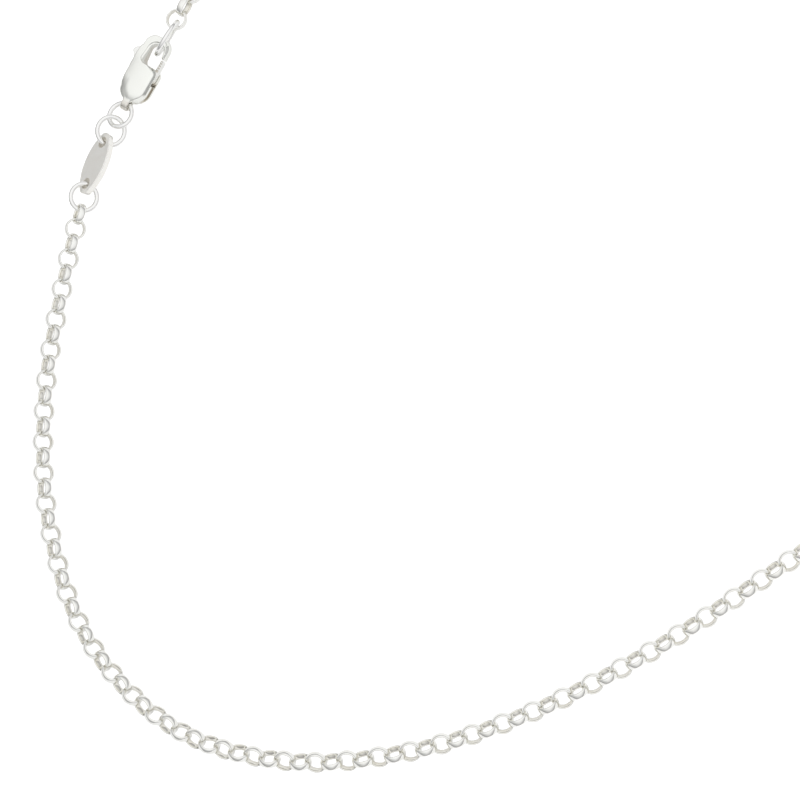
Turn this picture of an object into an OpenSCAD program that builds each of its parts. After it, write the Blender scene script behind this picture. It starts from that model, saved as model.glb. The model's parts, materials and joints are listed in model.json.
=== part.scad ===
// Rolo chain necklace, lying fastened on a flat surface, at real size in millimetres.
// The loop lies in the XY plane with its long axis along X, and Z is up from the surface.
// The origin is on the surface, under the middle of the loop.

/* [Necklace] */
// Length of the fastened necklace, along its middle line
necklace_length = 450; // [400:5:520]
// Roll of the chain where it lies leaning on both sets of links, in degrees
lean_roll = 52; // [40:1:56]
// How far the end ring lifts the last link
end_lift = 0.6; // [0.4:0.05:0.8]

/* [Chain links] */
// Outer diameter of a link
link_od = 2.95; // [2.7:0.05:3.3]
// Radial thickness of a link's band
band_thickness = 0.34; // [0.3:0.01:0.36]
// Width of a link's band, along the link's own axis
band_width = 0.95; // [0.8:0.05:1.05]
// Width of the flat along the inside of the band
band_flat = 0.4; // [0.3:0.02:0.44]
// Depth of the rounding at the inner edges of the band
band_bevel = 0.1; // [0.08:0.01:0.12]
// Width of the crown along the outside of the band
band_crown = 0.56; // [0.4:0.02:0.6]
// Clear space between two links that hold each other
link_gap = 0.14; // [0.13:0.01:0.18]

/* [Rings] */
// Diameter of the round wire of the rings
ring_wire = 0.68; // [0.6:0.02:0.7]
// Outer diameter of the ring in the clasp's eye
clasp_ring_od = 4.1; // [4:0.1:4.4]
// Outer diameter of the ring at the tag's clasp end
tag_ring_od = 4.5; // [4.3:0.1:4.8]
// Outer diameter of the ring between the tag and the chain
chain_ring_od = 4.3; // [4.2:0.1:4.6]
// Outer diameter of the ring that the clasp hooks into
end_ring_od = 5.8; // [5.6:0.1:6.4]
// Clear space between a ring and what it holds
ring_gap = 0.12; // [0.1:0.01:0.14]
// Roll of the clasp ring, in degrees
clasp_ring_roll = 12; // [10:1:18]
// Roll of the tag ring, in degrees
tag_ring_roll = -38; // [-42:1:-36]
// Roll of the chain ring, in degrees
chain_ring_roll = -35; // [-40:1:-33]
// Roll of the end ring, in degrees, nearly on edge
end_ring_roll = 71; // [66:1:76]
// How much nearer than taut the clasp ring and the tag ring lie
ring_slack = 0.4; // [0.4:0.05:0.6]

/* [Tag] */
// Length of the tag
tag_length = 8.8; // [8:0.1:10]
// Width of the tag at its middle
tag_width = 4.3; // [3.8:0.1:4.8]
// Thickness of the tag
tag_thickness = 0.95; // [0.7:0.05:0.95]
// Diameter of the hole at each end of the tag
tag_hole_d = 1.5; // [1.45:0.05:1.6]
// Metal left between a hole and the tag's tip
tag_tip = 0.66; // [0.5:0.02:0.9]
// Roll of the tag, in degrees
tag_roll = 32; // [26:1:36]

/* [Clasp body] */
// Width of the clasp's body
clasp_width = 4.3; // [4:0.1:4.6]
// Thickness of the clasp's body
clasp_thickness = 2.6; // [2.5:0.05:3]
// Length of the clasp's body, from its round end to the hook's opening
clasp_length = 5.6; // [5.4:0.05:5.8]
// Radius of the crown across the clasp's faces
crown_radius = 6; // [5:0.5:9]
// Height of the shoulder beside the thumb tab, above the hook's opening
shoulder_rise = 0.5; // [0.3:0.05:0.6]
// How far the body's side runs up past the thumb tab, above the hook's opening
side_rise = 2; // [1.9:0.05:2.1]
// Pitch of the clasp, whose hook rests on the end ring, in degrees
clasp_pitch = 5; // [4:0.5:6]

/* [Clasp eye] */
// Diameter of the eye's bore
eye_bore = 1.2; // [1.15:0.05:1.3]
// Wall around the eye's bore
eye_wall = 0.35; // [0.3:0.05:0.4]
// Width of the eye, across the clasp
eye_width = 1; // [0.8:0.1:1.2]
// How far the body's round end lies from the middle of the eye
eye_to_body = 0.3; // [0.28:0.02:0.4]

/* [Clasp hook] */
// Width of the hook, were both of its arms as thin as the one beside the gate
hook_width = 3.1; // [3:0.05:3.3]
// Thickness of the hook's arm beside the gate
hook_arm = 0.45; // [0.4:0.01:0.5]
// How much thicker the hook's other arm is
hook_side = 0.6; // [0.5:0.05:0.7]
// Thickness of the hook at its top
hook_top = 1.05; // [0.95:0.05:1.15]
// Height of the hook, across its thickness
hook_height = 1.6; // [1.5:0.05:1.7]
// Length of the hook's opening
hook_opening = 3.2; // [3.1:0.05:3.4]
// Sideways offset of the hook from the middle of the body, towards the lever's gate
hook_offset = 0.15; // [0.1:0.05:0.2]
// How far the hook's tip comes back past the middle of its round top
hook_tip = 0.45; // [0.35:0.05:0.55]
// How far the lever's gate stands out past the side of the hook
gate_proud = 0.15; // [0.05:0.05:0.15]

/* [Lever] */
// Thickness of the lever
lever_thickness = 1.1; // [0.9:0.05:1.15]
// Width of the lever's gate
gate_width = 0.42; // [0.36:0.02:0.46]
// Clear space between the lever and the clasp's body
lever_gap = 0.12; // [0.1:0.01:0.15]
// Diameter of the pin that the lever turns on
pin_d = 0.6; // [0.5:0.05:0.7]
// Radial clearance of the pin in the lever
pin_clearance = 0.05; // [0.04:0.01:0.08]
// Radial play of the pin in the clasp's body
pin_play = 0.02; // [0.01:0.01:0.03]
// Depth that the pin is let into each side of the clasp's body
pin_seat = 0.3; // [0.2:0.05:0.35]
// Number of ribs across the gate
rib_count = 4; // [3:1:5]
// Radius of a rib
rib_radius = 0.09; // [0.06:0.01:0.1]
// How far the thumb tab stands out from the body's side
tab_reach = 0.9; // [0.7:0.05:1.1]
// Wall of the boss around the pin
boss_wall = 0.38; // [0.34:0.02:0.4]

/* [Hidden] */
silver = [0.87, 0.87, 0.85];
shade = [0.8, 0.8, 0.79];
facets = 48;
eps = 0.01;

// The middle line of the fastened necklace, drawn from the clasp's eye past the tag and round
// the loop to the hook. Its size is set by necklace_length.
route = [
    [-21.5, 53.5], [-27, 52], [-34.5, 49], [-45, 43], [-59, 33], [-70, 21], [-77, 6.5],
    [-77, -11.5], [-70.5, -24], [-58.5, -35.5], [-45, -43.5], [-28.5, -50], [-12, -54.5],
    [4, -58], [21.5, -59.5], [40, -57.5], [57.5, -50], [72, -37.5], [81.5, -20.5], [85.5, 0],
    [82.5, 20], [73, 37.5], [58.5, 50.5], [41, 58.5], [22.5, 61], [5, 59], [-8, 56]
];
// Turns in the roll of the chain: share of the chain's length, share of lean_roll
roll_turns = [[0, 0.7], [0.03, 0.86], [0.18, 0.86], [0.24, 0.96], [0.8, 0.96], [0.95, 0], [1, 0]];
samples = 16;
lift_run = 22;

// The route as a closed smooth curve, sampled between its points
points = len(route);
function knot(i) = route[(i + points) % points];
function span(i) = norm(knot(i + 1) - knot(i));
function slope(i) =
    let (before = span(i - 1), after = span(i))
    ((knot(i) - knot(i - 1)) / before * after + (knot(i + 1) - knot(i)) / after * before)
    / (before + after);
function curve(i, t) =
    let (d = span(i))
    (2 * pow(t, 3) - 3 * pow(t, 2) + 1) * knot(i) + (pow(t, 3) - 2 * pow(t, 2) + t) * d * slope(i)
    + (3 * pow(t, 2) - 2 * pow(t, 3)) * knot(i + 1) + (pow(t, 3) - pow(t, 2)) * d * slope(i + 1);
drawn = [for (i = [0 : points - 1], k = [0 : samples - 1]) curve(i, k / samples)];
steps = len(drawn);
drawn_steps = [for (i = [0 : steps - 1]) norm(drawn[(i + 1) % steps] - drawn[i])];
drawn_stations = [for (i = 0, s = 0; i <= steps; s = s + (i < steps ? drawn_steps[i] : 0), i = i + 1) s];
route_scale = necklace_length / drawn_stations[steps];
route_x = [for (i = [0 : steps]) [drawn_stations[i] * route_scale, drawn[i % steps].x * route_scale]];
route_y = [for (i = [0 : steps]) [drawn_stations[i] * route_scale, drawn[i % steps].y * route_scale]];

// Place on the route at a distance from the clasp's eye, and the heading between two such places
function wrap(s) = s - necklace_length * floor(s / necklace_length);
function along(s) = [lookup(wrap(s), route_x), lookup(wrap(s), route_y)];
function heading(a, b) = let (d = along(b) - along(a)) atan2(d.y, d.x);
function bearing(s) = heading(s - link_od / 2, s + link_od / 2);

// Link sizes: the band's section is half as [distance out from the bore, half width]
link_ri = link_od / 2 - band_thickness;
band_half = [[0, band_flat / 2], [band_bevel, band_width / 2], [band_thickness, band_crown / 2]];
band_section = concat(band_half, [for (i = [2 : -1 : 0]) [band_half[i].x, -band_half[i].y]]);
function depth_at(a, b) = sqrt(pow(link_ri + a.x, 2) - pow(b.y, 2));
pitch_limit = min([for (a = band_half, b = band_half) depth_at(a, b) + depth_at(b, a)]) - link_gap;
// Furthest reach of a link in a direction that makes the given cosine with its axis
function link_reach(c) =
    max([for (p = band_half) (link_ri + p.x) * sqrt(1 - min(1, c * c)) + p.y * abs(c)]);

// Rings
wire_r = ring_wire / 2;
clasp_ring_r = clasp_ring_od / 2 - wire_r;
tag_ring_r = tag_ring_od / 2 - wire_r;
chain_ring_r = chain_ring_od / 2 - wire_r;
end_ring_r = end_ring_od / 2 - wire_r;
function ring_rest(r, roll) = r * abs(sin(roll)) + wire_r;

// Clasp frame: origin in the middle of the eye's bore, X towards the hook, Z across the faces
body_r = clasp_width / 2;
body_round = eye_to_body + body_r;
body_top = eye_to_body + clasp_length;
shoulder_r = 0.45 * body_r;
hook_r = hook_width / 2;
hook_bore = hook_r - hook_arm;
hook_end = body_top + hook_opening + hook_top;
hook_middle = hook_end - hook_r;
bore_middle = body_top + hook_opening - hook_bore;
pivot = [eye_to_body + 0.75 * clasp_length, -0.45 * body_r];
gate_outer = -hook_r - hook_offset - gate_proud;
gate_radius = norm([bore_middle - hook_tip - pivot.x, gate_outer + hook_arm - pivot.y]) - lever_gap;
boss_r = pin_d / 2 + pin_clearance + boss_wall;
cavity = lever_thickness / 2 + lever_gap;
cavity_back = pivot.x - boss_r - 3 * lever_gap;
arm_top = body_top - 2 * hook_arm - lever_gap;
tab_inner = body_r - gate_width;
tab_top = body_top + shoulder_rise;
tab_end = tab_top + 1.5 * tab_reach;
edge_round = 0.3;

// Heights of the lying pieces above the surface
front_z = max(tag_width / 2 * sin(tag_roll) + tag_thickness / 2 * cos(tag_roll),
              ring_rest(tag_ring_r, tag_ring_roll), ring_rest(chain_ring_r, chain_ring_roll));
eye_z = clasp_thickness / 2 - (eye_to_body + clasp_thickness / 2) * sin(clasp_pitch);
end_ring_z = ring_rest(end_ring_r, end_ring_roll);
hook_z = eye_z + (body_top + hook_opening) * sin(clasp_pitch);
hook_low = hook_z - hook_height / 2;
last_low = link_od / 2 + end_lift - band_width / 2;
// Half width of the end ring's hole, less its clearance, level with a height above the surface
function end_hole(z) =
    sqrt(pow(end_ring_r - wire_r - ring_gap, 2) - pow((z - end_ring_z) / sin(end_ring_roll), 2));

// Distances of the pieces from the clasp's eye, along the route
tag_span = tag_length - 2 * tag_tip - tag_hole_d;
at_clasp_ring = clasp_ring_r + eye_bore / 2 - wire_r - 2 * ring_gap;
at_tag_ring = at_clasp_ring + clasp_ring_r + tag_ring_r - ring_wire - ring_slack;
at_tag_start = at_tag_ring + tag_ring_r;
at_tag_end = at_tag_start + tag_span;
at_chain_ring = at_tag_end + chain_ring_r;
at_first_link = at_chain_ring + chain_ring_r - wire_r + link_ri - 2 * ring_gap;
at_hook = necklace_length - body_top - hook_opening;
at_end_ring = at_hook - end_hole(hook_low);
end_ring_side = (end_ring_z - hook_z) / tan(end_ring_roll) + 2 * hook_offset;
at_last_link = at_end_ring - end_hole(last_low) - link_ri;

// Links: the first one stands and the last one lies flat
link_count = 2 * ceil(((at_last_link - at_first_link) / pitch_limit + 1) / 2);
pitch = (at_last_link - at_first_link) / (link_count - 1);
half_count = link_count / 2;
function link_at(i) = at_first_link + i * pitch;
function link_roll(i) = (i % 2 == 0 ? 90 : 0) - lean_roll * lookup(i / (link_count - 1), roll_turns);
function link_lift(i) = end_lift * lookup(at_last_link - link_at(i), [[0, 1], [lift_run, 0]]);
function link_z(i) = max(link_reach(cos(link_roll(i))), link_reach(sin(link_roll(i)))) + link_lift(i);
function link_axis(i) =
    let (h = bearing(link_at(i)), a = link_roll(i))
    [sin(h) * sin(a), -cos(h) * sin(a)];
low_x = min([for (i = [0 : link_count - 1]) along(link_at(i)).x - link_reach(link_axis(i).x)]);
high_x = max([for (i = [0 : link_count - 1]) along(link_at(i)).x + link_reach(link_axis(i).x)]);
low_y = min([for (i = [0 : link_count - 1]) along(link_at(i)).y - link_reach(link_axis(i).y)]);
high_y = max([for (i = [0 : link_count - 1]) along(link_at(i)).y + link_reach(link_axis(i).y)]);
middle = [low_x + high_x, low_y + high_y] / 2;

// Puts a piece at a place on the surface with its height, its heading, its roll about the
// heading and the pitch that lifts its leading end
module lay(place, z, turn, roll, pitch_up = 0) {
    p = place - middle;
    translate([p.x, p.y, z]) rotate([0, 0, turn]) rotate([roll, 0, 0]) rotate([0, -pitch_up, 0])
        children();
}

module link() {
    rotate_extrude($fn = facets) translate([link_ri, 0]) polygon(band_section);
}

module links(first, last) {
    for (i = [first : last])
        lay(along(link_at(i)), link_z(i), bearing(link_at(i)), link_roll(i)) link();
}

module chain_front() {
    color(silver) links(0, half_count - 1);
}

module chain_back() {
    color(shade) links(half_count, link_count - 1);
}

module ring(r) {
    rotate_extrude($fn = facets) translate([r, 0]) circle(r = wire_r, $fn = facets / 2);
}

module clasp_ring() {
    rise = asin((front_z - eye_z) / (clasp_ring_od + tag_ring_od / 2));
    color(silver)
        lay(along(at_clasp_ring), eye_z + at_clasp_ring * sin(rise), bearing(at_clasp_ring),
            clasp_ring_roll, rise)
            ring(clasp_ring_r);
}

module tag_ring() {
    color(shade) lay(along(at_tag_ring), front_z, bearing(at_tag_ring), tag_ring_roll) ring(tag_ring_r);
}

module chain_ring() {
    color(silver) lay(along(at_chain_ring), front_z, bearing(at_chain_ring), chain_ring_roll)
        ring(chain_ring_r);
}

// The end ring leans to the inside of the loop, so that it meets the hook in the hook's opening
module end_ring() {
    h = bearing(at_end_ring);
    color(shade)
        lay(along(at_end_ring) + end_ring_side * [-sin(h), cos(h)], end_ring_z, h, end_ring_roll)
            ring(end_ring_r);
}

// Long oval plate with a hole at each end, and its tips rounded about the holes
module tag() {
    bulge = (pow(tag_length * 0.56, 2) + pow(tag_width / 2, 2)) / tag_width;
    color(shade)
        lay((along(at_tag_start) + along(at_tag_end)) / 2, front_z, heading(at_tag_start, at_tag_end),
            tag_roll)
            difference() {
                translate([0, 0, -tag_thickness / 2]) linear_extrude(tag_thickness) intersection() {
                    translate([0, tag_width / 2 - bulge]) circle(r = bulge, $fn = 4 * facets);
                    translate([0, bulge - tag_width / 2]) circle(r = bulge, $fn = 4 * facets);
                    union() {
                        square([tag_span, tag_width], center = true);
                        for (side = [-1, 1])
                            translate([side * tag_span / 2, 0])
                                circle(d = tag_length - tag_span, $fn = 2 * facets);
                    }
                }
                for (side = [-1, 1])
                    translate([side * tag_span / 2, 0, -tag_thickness / 2 - eps])
                        cylinder(d = tag_hole_d, h = tag_thickness + 2 * eps, $fn = facets);
            }
}

// Puts the clasp's pieces where the eye and the hook lie on the route
module clasp_frame() {
    lay(along(0), eye_z, heading(0, at_hook), 0, clasp_pitch) children();
}

module upright(height) {
    translate([0, 0, -height / 2]) linear_extrude(height) children();
}

// Extrudes an outline that is drawn as [along the clasp, up] across the clasp
module across(width) {
    translate([0, width / 2, 0]) rotate([90, 0, 0]) linear_extrude(width) children();
}

// Extrudes an outline that is drawn as [across, up] along the clasp
module lengthwise(start, end) {
    translate([start, 0, 0]) rotate([90, 0, 90]) linear_extrude(end - start) children();
}

module rounded_box(low, high, r) {
    translate([low.x + r, low.y]) square([high.x - low.x - 2 * r, high.y - low.y]);
    translate([low.x, low.y + r]) square([high.x - low.x, high.y - low.y - 2 * r]);
    for (x = [low.x + r, high.x - r], y = [low.y + r, high.y - r])
        translate([x, y]) circle(r = r, $fn = facets);
}

// Plan of the body: a round end, a rounded shoulder by the gate and a higher one by the tab
module body_plan() {
    translate([body_round, 0]) circle(r = body_r, $fn = 2 * facets);
    translate([body_round, -body_r]) square([body_top - shoulder_r - body_round, clasp_width]);
    translate([body_round, shoulder_r - body_r]) square([body_top - body_round, clasp_width - shoulder_r]);
    translate([body_top - shoulder_r, shoulder_r - body_r]) circle(r = shoulder_r, $fn = facets);
    translate([body_round, body_r - shoulder_rise])
        square([body_top + side_rise - body_round, shoulder_rise]);
}

module body_shell() {
    intersection() {
        upright(clasp_thickness) body_plan();
        lengthwise(0, hook_end) intersection() {
            translate([0, clasp_thickness / 2 - crown_radius]) circle(r = crown_radius, $fn = 4 * facets);
            translate([0, crown_radius - clasp_thickness / 2]) circle(r = crown_radius, $fn = 4 * facets);
            circle(r = body_r * 1.06, $fn = 4 * facets);
        }
        across(2 * clasp_width) {
            translate([eye_to_body + clasp_thickness / 2, 0]) circle(d = clasp_thickness, $fn = facets);
            translate([eye_to_body + clasp_thickness / 2, -clasp_thickness / 2])
                square([clasp_length + side_rise, clasp_thickness]);
        }
    }
}

// Plan of the hook: two arms and a round top, with the opening left free and the arm beside the
// thumb tab the thicker one
module hook_plan() {
    difference() {
        translate([0, -hook_offset]) {
            for (side = [0, hook_side])
                translate([hook_middle, side]) circle(r = hook_r, $fn = 2 * facets);
            translate([hook_middle, 0]) square([hook_r, hook_side]);
            translate([body_top - 2 * hook_arm, -hook_r])
                square([hook_middle - body_top + 2 * hook_arm, hook_width + hook_side]);
        }
        translate([bore_middle, -hook_offset]) circle(r = hook_bore, $fn = 2 * facets);
        translate([0, -hook_offset - hook_bore]) square([bore_middle, 2 * hook_bore]);
        intersection() {
            translate(pivot) circle(r = gate_radius + lever_gap, $fn = 4 * facets);
            translate([0, -2 * clasp_width]) square([hook_end, 2 * clasp_width - hook_offset]);
        }
    }
}

module hook() {
    intersection() {
        upright(hook_height) hook_plan();
        lengthwise(0, hook_end + eps)
            rounded_box([gate_outer, -hook_height / 2],
                        [hook_r + hook_side - hook_offset, hook_height / 2], edge_round);
        across(2 * clasp_width)
            rounded_box([0, -hook_height / 2], [hook_end, hook_height / 2], edge_round);
    }
}

// Space that the lever turns in, open at both sides of the body
module lever_space() {
    upright(2 * cavity) {
        translate(pivot) circle(r = boss_r + lever_gap, $fn = facets);
        intersection() {
            translate(pivot) circle(r = gate_radius + lever_gap, $fn = 4 * facets);
            polygon([
                [pivot.x - boss_r - lever_gap, pivot.y], [pivot.x - boss_r - lever_gap, -clasp_width],
                [hook_end, -clasp_width], [hook_end, -hook_offset],
                [arm_top + lever_gap, -hook_offset], [arm_top + lever_gap, pivot.y]
            ]);
        }
        polygon([
            [cavity_back, pivot.y], [arm_top + lever_gap, pivot.y],
            [arm_top + lever_gap, tab_inner - lever_gap], [tab_end + lever_gap, tab_inner - lever_gap],
            [tab_end + lever_gap, clasp_width], [cavity_back, clasp_width]
        ]);
    }
}

// The eye is a band around its bore, flared towards both sides of the clasp
module eye() {
    flat = eye_width / 2 - eye_wall;
    rotate([90, 0, 0]) rotate_extrude($fn = facets) translate([eye_bore / 2, 0]) polygon([
        [0, -flat], [0.6 * eye_wall, -eye_width / 2], [eye_wall, -eye_width / 2],
        [eye_wall, eye_width / 2], [0.6 * eye_wall, eye_width / 2], [0, flat]
    ]);
    neck = eye_to_body + clasp_thickness / 4;
    difference() {
        across(eye_width) translate([0, -eye_bore / 2]) square([neck, eye_bore]);
        across(clasp_width) circle(d = eye_bore + eye_wall, $fn = facets);
    }
}

module clasp_body() {
    color(silver) clasp_frame() {
        difference() {
            union() {
                body_shell();
                hook();
            }
            lever_space();
            across(clasp_width) circle(d = eye_bore + eye_wall, $fn = facets);
            translate([pivot.x, pivot.y, -cavity - pin_seat])
                cylinder(r = pin_d / 2 + pin_play, h = 2 * (cavity + pin_seat), $fn = facets);
        }
        eye();
    }
}

// Plan of the lever: a gate that closes the hook, a boss on the pin and a thumb tab
module lever_plan() {
    gate_inner = gate_outer + gate_width;
    gate_end = pivot.x + gate_radius;
    translate(pivot) circle(r = boss_r, $fn = facets);
    intersection() {
        translate(pivot) circle(r = gate_radius, $fn = 4 * facets);
        polygon([
            [pivot.x - boss_r, pivot.y], [pivot.x - boss_r, gate_outer + gate_width],
            [pivot.x - boss_r / 2, gate_outer + gate_width / 4], [pivot.x, gate_outer],
            [gate_end, gate_outer], [gate_end, gate_inner],
            [body_top - gate_width, gate_inner], [arm_top, pivot.y + boss_r / 2], [pivot.x, pivot.y]
        ]);
    }
    polygon([
        [pivot.x, pivot.y], [arm_top, pivot.y + boss_r / 2], [arm_top, tab_inner],
        [tab_top, tab_inner + lever_gap], [tab_end, body_r],
        [tab_top + 1.1 * tab_reach, body_r + 0.7 * tab_reach],
        [tab_top + 0.5 * tab_reach, body_r + tab_reach], [tab_top, body_r + 0.6 * tab_reach],
        [body_top - gate_width, body_r - lever_gap], [pivot.x + gate_width / 2, body_r - gate_width / 2],
        [pivot.x - lever_gap, body_r - 2 * gate_width],
        [pivot.x - boss_r, pivot.y + gate_width]
    ]);
}

module gate_ribs() {
    rib_span = gate_radius + pivot.x - body_top - 2 * gate_width;
    for (i = [0 : rib_count - 1])
        translate([body_top + gate_width / 2 + i * rib_span / (rib_count - 1),
                   gate_outer + gate_width, lever_thickness / 2])
            rotate([90, 0, 0]) cylinder(r = rib_radius, h = gate_width, $fn = facets / 2);
}

module clasp_lever() {
    color(shade) clasp_frame() difference() {
        union() {
            upright(lever_thickness) lever_plan();
            gate_ribs();
        }
        translate([pivot.x, pivot.y, -lever_thickness])
            cylinder(r = pin_d / 2 + pin_clearance, h = 2 * lever_thickness, $fn = facets);
    }
}

module pivot_pin() {
    half = cavity + pin_seat - pin_play;
    color(silver) clasp_frame() translate([pivot.x, pivot.y, -half])
        cylinder(d = pin_d, h = 2 * half, $fn = facets);
}

chain_front();
chain_back();
clasp_body();
clasp_lever();
pivot_pin();
clasp_ring();
tag_ring();
tag();
chain_ring();
end_ring();
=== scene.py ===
# Rolo chain necklace, lying fastened on a pale surface. Every object is in metres, in the model's
# own frame; the sizes below are in millimetres, as a maker states them.
import bpy
import bmesh
import json
import math
import numpy as np
from mathutils import Matrix, Vector


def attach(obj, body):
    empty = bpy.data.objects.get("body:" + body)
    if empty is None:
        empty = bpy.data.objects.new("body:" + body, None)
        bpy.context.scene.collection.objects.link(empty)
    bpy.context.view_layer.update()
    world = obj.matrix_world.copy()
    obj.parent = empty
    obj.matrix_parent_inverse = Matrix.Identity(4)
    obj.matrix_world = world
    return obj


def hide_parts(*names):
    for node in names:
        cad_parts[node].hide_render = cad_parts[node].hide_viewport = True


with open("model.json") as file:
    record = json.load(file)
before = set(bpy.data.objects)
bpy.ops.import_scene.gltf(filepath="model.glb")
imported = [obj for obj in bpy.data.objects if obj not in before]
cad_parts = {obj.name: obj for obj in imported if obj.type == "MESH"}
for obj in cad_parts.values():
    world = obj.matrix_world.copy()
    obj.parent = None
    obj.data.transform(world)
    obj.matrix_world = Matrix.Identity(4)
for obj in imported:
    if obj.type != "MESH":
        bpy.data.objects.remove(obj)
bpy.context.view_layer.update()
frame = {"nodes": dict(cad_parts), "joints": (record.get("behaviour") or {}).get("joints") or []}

MM = 0.001

# Chain links: a band with a flat inside, eased inner edges and a full crown outside
LINK_OD = 2.95
BAND_THICKNESS = 0.34
BAND_WIDTH = 0.95
BAND_FLAT = 0.4
BAND_BEVEL = 0.1
BAND_EASE = 0.71
CROWN_POWER = 0.67
CROWN_STEPS = 10
LINK_STEPS = 60

# Rings: outer diameters, all of one wire
RING_WIRE = 0.68
RING_OD = {"clasp_ring": 4.1, "tag_ring": 4.5, "chain_ring": 4.3, "end_ring": 5.8}
RING_STEPS = 144
WIRE_STEPS = 28
# how much darker and warmer the rings are in their bores
RING_BORE_DARKENING = 0.5

# Tag: two arcs that would meet a little beyond its cut-off, rounded ends
TAG_LENGTH = 8.8
TAG_ARCS_MEET = 0.56
TAG_WIDTH = 4.3
TAG_THICKNESS = 0.95
TAG_HOLE_D = 1.5
TAG_TIP = 0.66
TAG_CORNER = 0.1
TAG_EDGE = 0.09
TAG_DRAFT = 0.1
TAG_BORE_RIM = 0.12
TAG_SIDE_RUB = 0.6

# Clasp, in its own frame: origin in the eye, X towards the hook, Z across the faces. The body:
BODY_WIDTH = 4.3
BODY_THICKNESS = 2.6
BODY_LENGTH = 5.6
BODY_START = 0.3
BODY_TOP = BODY_START + BODY_LENGTH
BODY_CORNER = 0.45  # share of half the body's width
SHOULDER_RISE = 0.5
SIDE_RISE = 2.0

# its face, which falls to the hook, is crowned across, slopes down round the eye's end and
# along its left side, and has its edge taken off on the gate's side
FALL_START = 0.3
FALL_RUN = 2.6
CROWN_RADIUS = 10.0
CROWN_REACH = 4.0
CROWN_BLEND = 0.2
SLOPE_WIDTH = 1.8
SLOPE_RADIUS = 3.0
SLOPE_DEPTH = 0.8
SLOPE_START = 0.1
SLOPE_RUN = 2.0
SLOPE_LEAD = 1.2  # how much further up the slope runs on the left
SIDE_SLOPE = 0.05
SIDE_END = 0.9
SIDE_BLEND = 1.2
BODY_EDGE = 0.18
BODY_BEVEL = 0.44
BEVEL_STEEP = 0.8
BEVEL_EASE = 0.12

# its eye
EYE_BORE = 1.2
EYE_WALL = 0.35
EYE_WIDTH = 1.0
EYE_EDGE = 0.16
EYE_BLEND = 0.35

# its hook, with a ledge round the opening
HOOK_WIDTH = 3.1
HOOK_ARM = 0.45
HOOK_SIDE = 0.6
HOOK_TOP = 1.05
HOOK_HEIGHT = 1.6
HOOK_OPENING = 3.2
HOOK_OFFSET = 0.15
HOOK_TIP = 0.45
HOOK_BLEND = 0.5
HOOK_CUT_EASE = 0.08
OPENING_CORNER = 0.5  # share of the opening's half width
OPENING_EASE = 0.05
RIM_LEDGE = 0.16
RIM_RISE = 0.625
RIM_EASE = 0.03

# the lever, its pin and the room it turns in, with the slot in the body's side
PIVOT_ALONG = 0.75  # share of the body's length
PIVOT_ASIDE = 0.45  # share of half the body's width
GATE_PROUD = 0.15
GATE_WIDTH = 0.42
LEVER_THICKNESS = 1.1
LEVER_EDGE = 0.1
LEVER_GAP = 0.12
BOSS_WALL = 0.38
ROOM_EASE = 0.06
PIN_D = 0.6
PIN_CLEARANCE = 0.05
PIN_PLAY = 0.02
PIN_SEAT = 0.3
RIB_COUNT = 4
RIB_RADIUS = 0.09
RIB_MARGIN = 1.15  # share of the gate's width
RIB_EASE = 0.03
TAB_REACH = 0.9
SLOT_START = 0.95
SLOT_DEPTH = 0.55
SLOT_HEIGHT = 0.8
SLOT_DROP = 0.15

# Where the clasp is painted darker: shade in the lever's room, on the opening's wall and on the
# lever inside the body, shade with some tarnish at the eye and between the ribs; how strongly, how
# far each place reaches and over what length it fades. The room past the pivot is painted less
# dark, the opening's wall only low down.
ROOM_PAST_PIVOT = 0.35
ROOM_AT_PIVOT = 0.4
ROOM_FADE = 0.6
WALL_SHADE = 0.9
WALL_REACH = 0.15
WALL_FADE = 0.1
WALL_TOP = 0.25
WALL_TOP_FADE = 0.2
EYE_SHADE_AND_TARNISH = 0.9
EYE_REACH = 0.7
EYE_FADE = 0.5
INSIDE_SHADE = 0.8
GROOVE_START = 0.6  # distance from a rib, in its radii
GROOVE_DEPTH = 0.06
GROOVE_PAST_GATE = 0.03
GROOVE_PAST_BODY = 0.2

# Casting: the grid's cell, how far the grid is set off the flat faces, in cells, the spare room
# beside the clasp's body, and the rounds of settling
CAST_CELL = 0.06
CAST_SHIFT = 1.37
CAST_SPARE = 0.1
CAST_ROUNDS = 4

# Light: share of the tent's brightness against the height of the direction, on its near right and
# far left, and where the one turns into the other
TENT_NEAR = [(0.0, 0.34), (0.10, 0.38), (0.26, 0.66), (0.50, 0.90), (0.80, 0.98), (1.0, 1.0)]
TENT_FAR = [(0.0, 0.32), (0.10, 0.34), (0.34, 0.46), (0.62, 0.66), (0.85, 0.88), (1.0, 1.0)]
TENT_TURN = (-0.2, 0.75)
FAR_LEFT = (-0.75, 0.65)

# Floor, in metres: how white its paper is to the eye, its painted shade in reflections, darker to
# its far left, and where that changes from its far left to its near right, and its glow in
# reflections and to the eye
FLOOR_SIZE = 1.2
FLOOR_TONE = 0.91
FLOOR_SHADE = (0.82, 0.97)
FLOOR_TURN = (0.08, -0.03)
FLOOR_GLOW = (0.18, 0.7)
GRAIN_SCALE = 900.0
GRAIN_DEPTH = 0.02

# Camera, at the photo's angle
CAMERA_LENS = 157.5
CAMERA_PLACE = (-16.5503, -141.6441, 435.3615)
CAMERA_RIGHT = (0.667730, -0.703486, -0.243400)
CAMERA_UP = (0.743828, 0.643393, 0.181012)


# ---------------------------------------------------------------- finishes

def new_group(name, inputs, outputs):
    """An empty node group with named inputs and outputs."""
    group = bpy.data.node_groups.new(name, "ShaderNodeTree")
    for label, kind, value in inputs:
        socket = group.interface.new_socket(name=label, in_out="INPUT", socket_type=kind)
        if value is not None:
            socket.default_value = value
    for label, kind in outputs:
        group.interface.new_socket(name=label, in_out="OUTPUT", socket_type=kind)
    return group, group.nodes.new("NodeGroupInput"), group.nodes.new("NodeGroupOutput")


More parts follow.
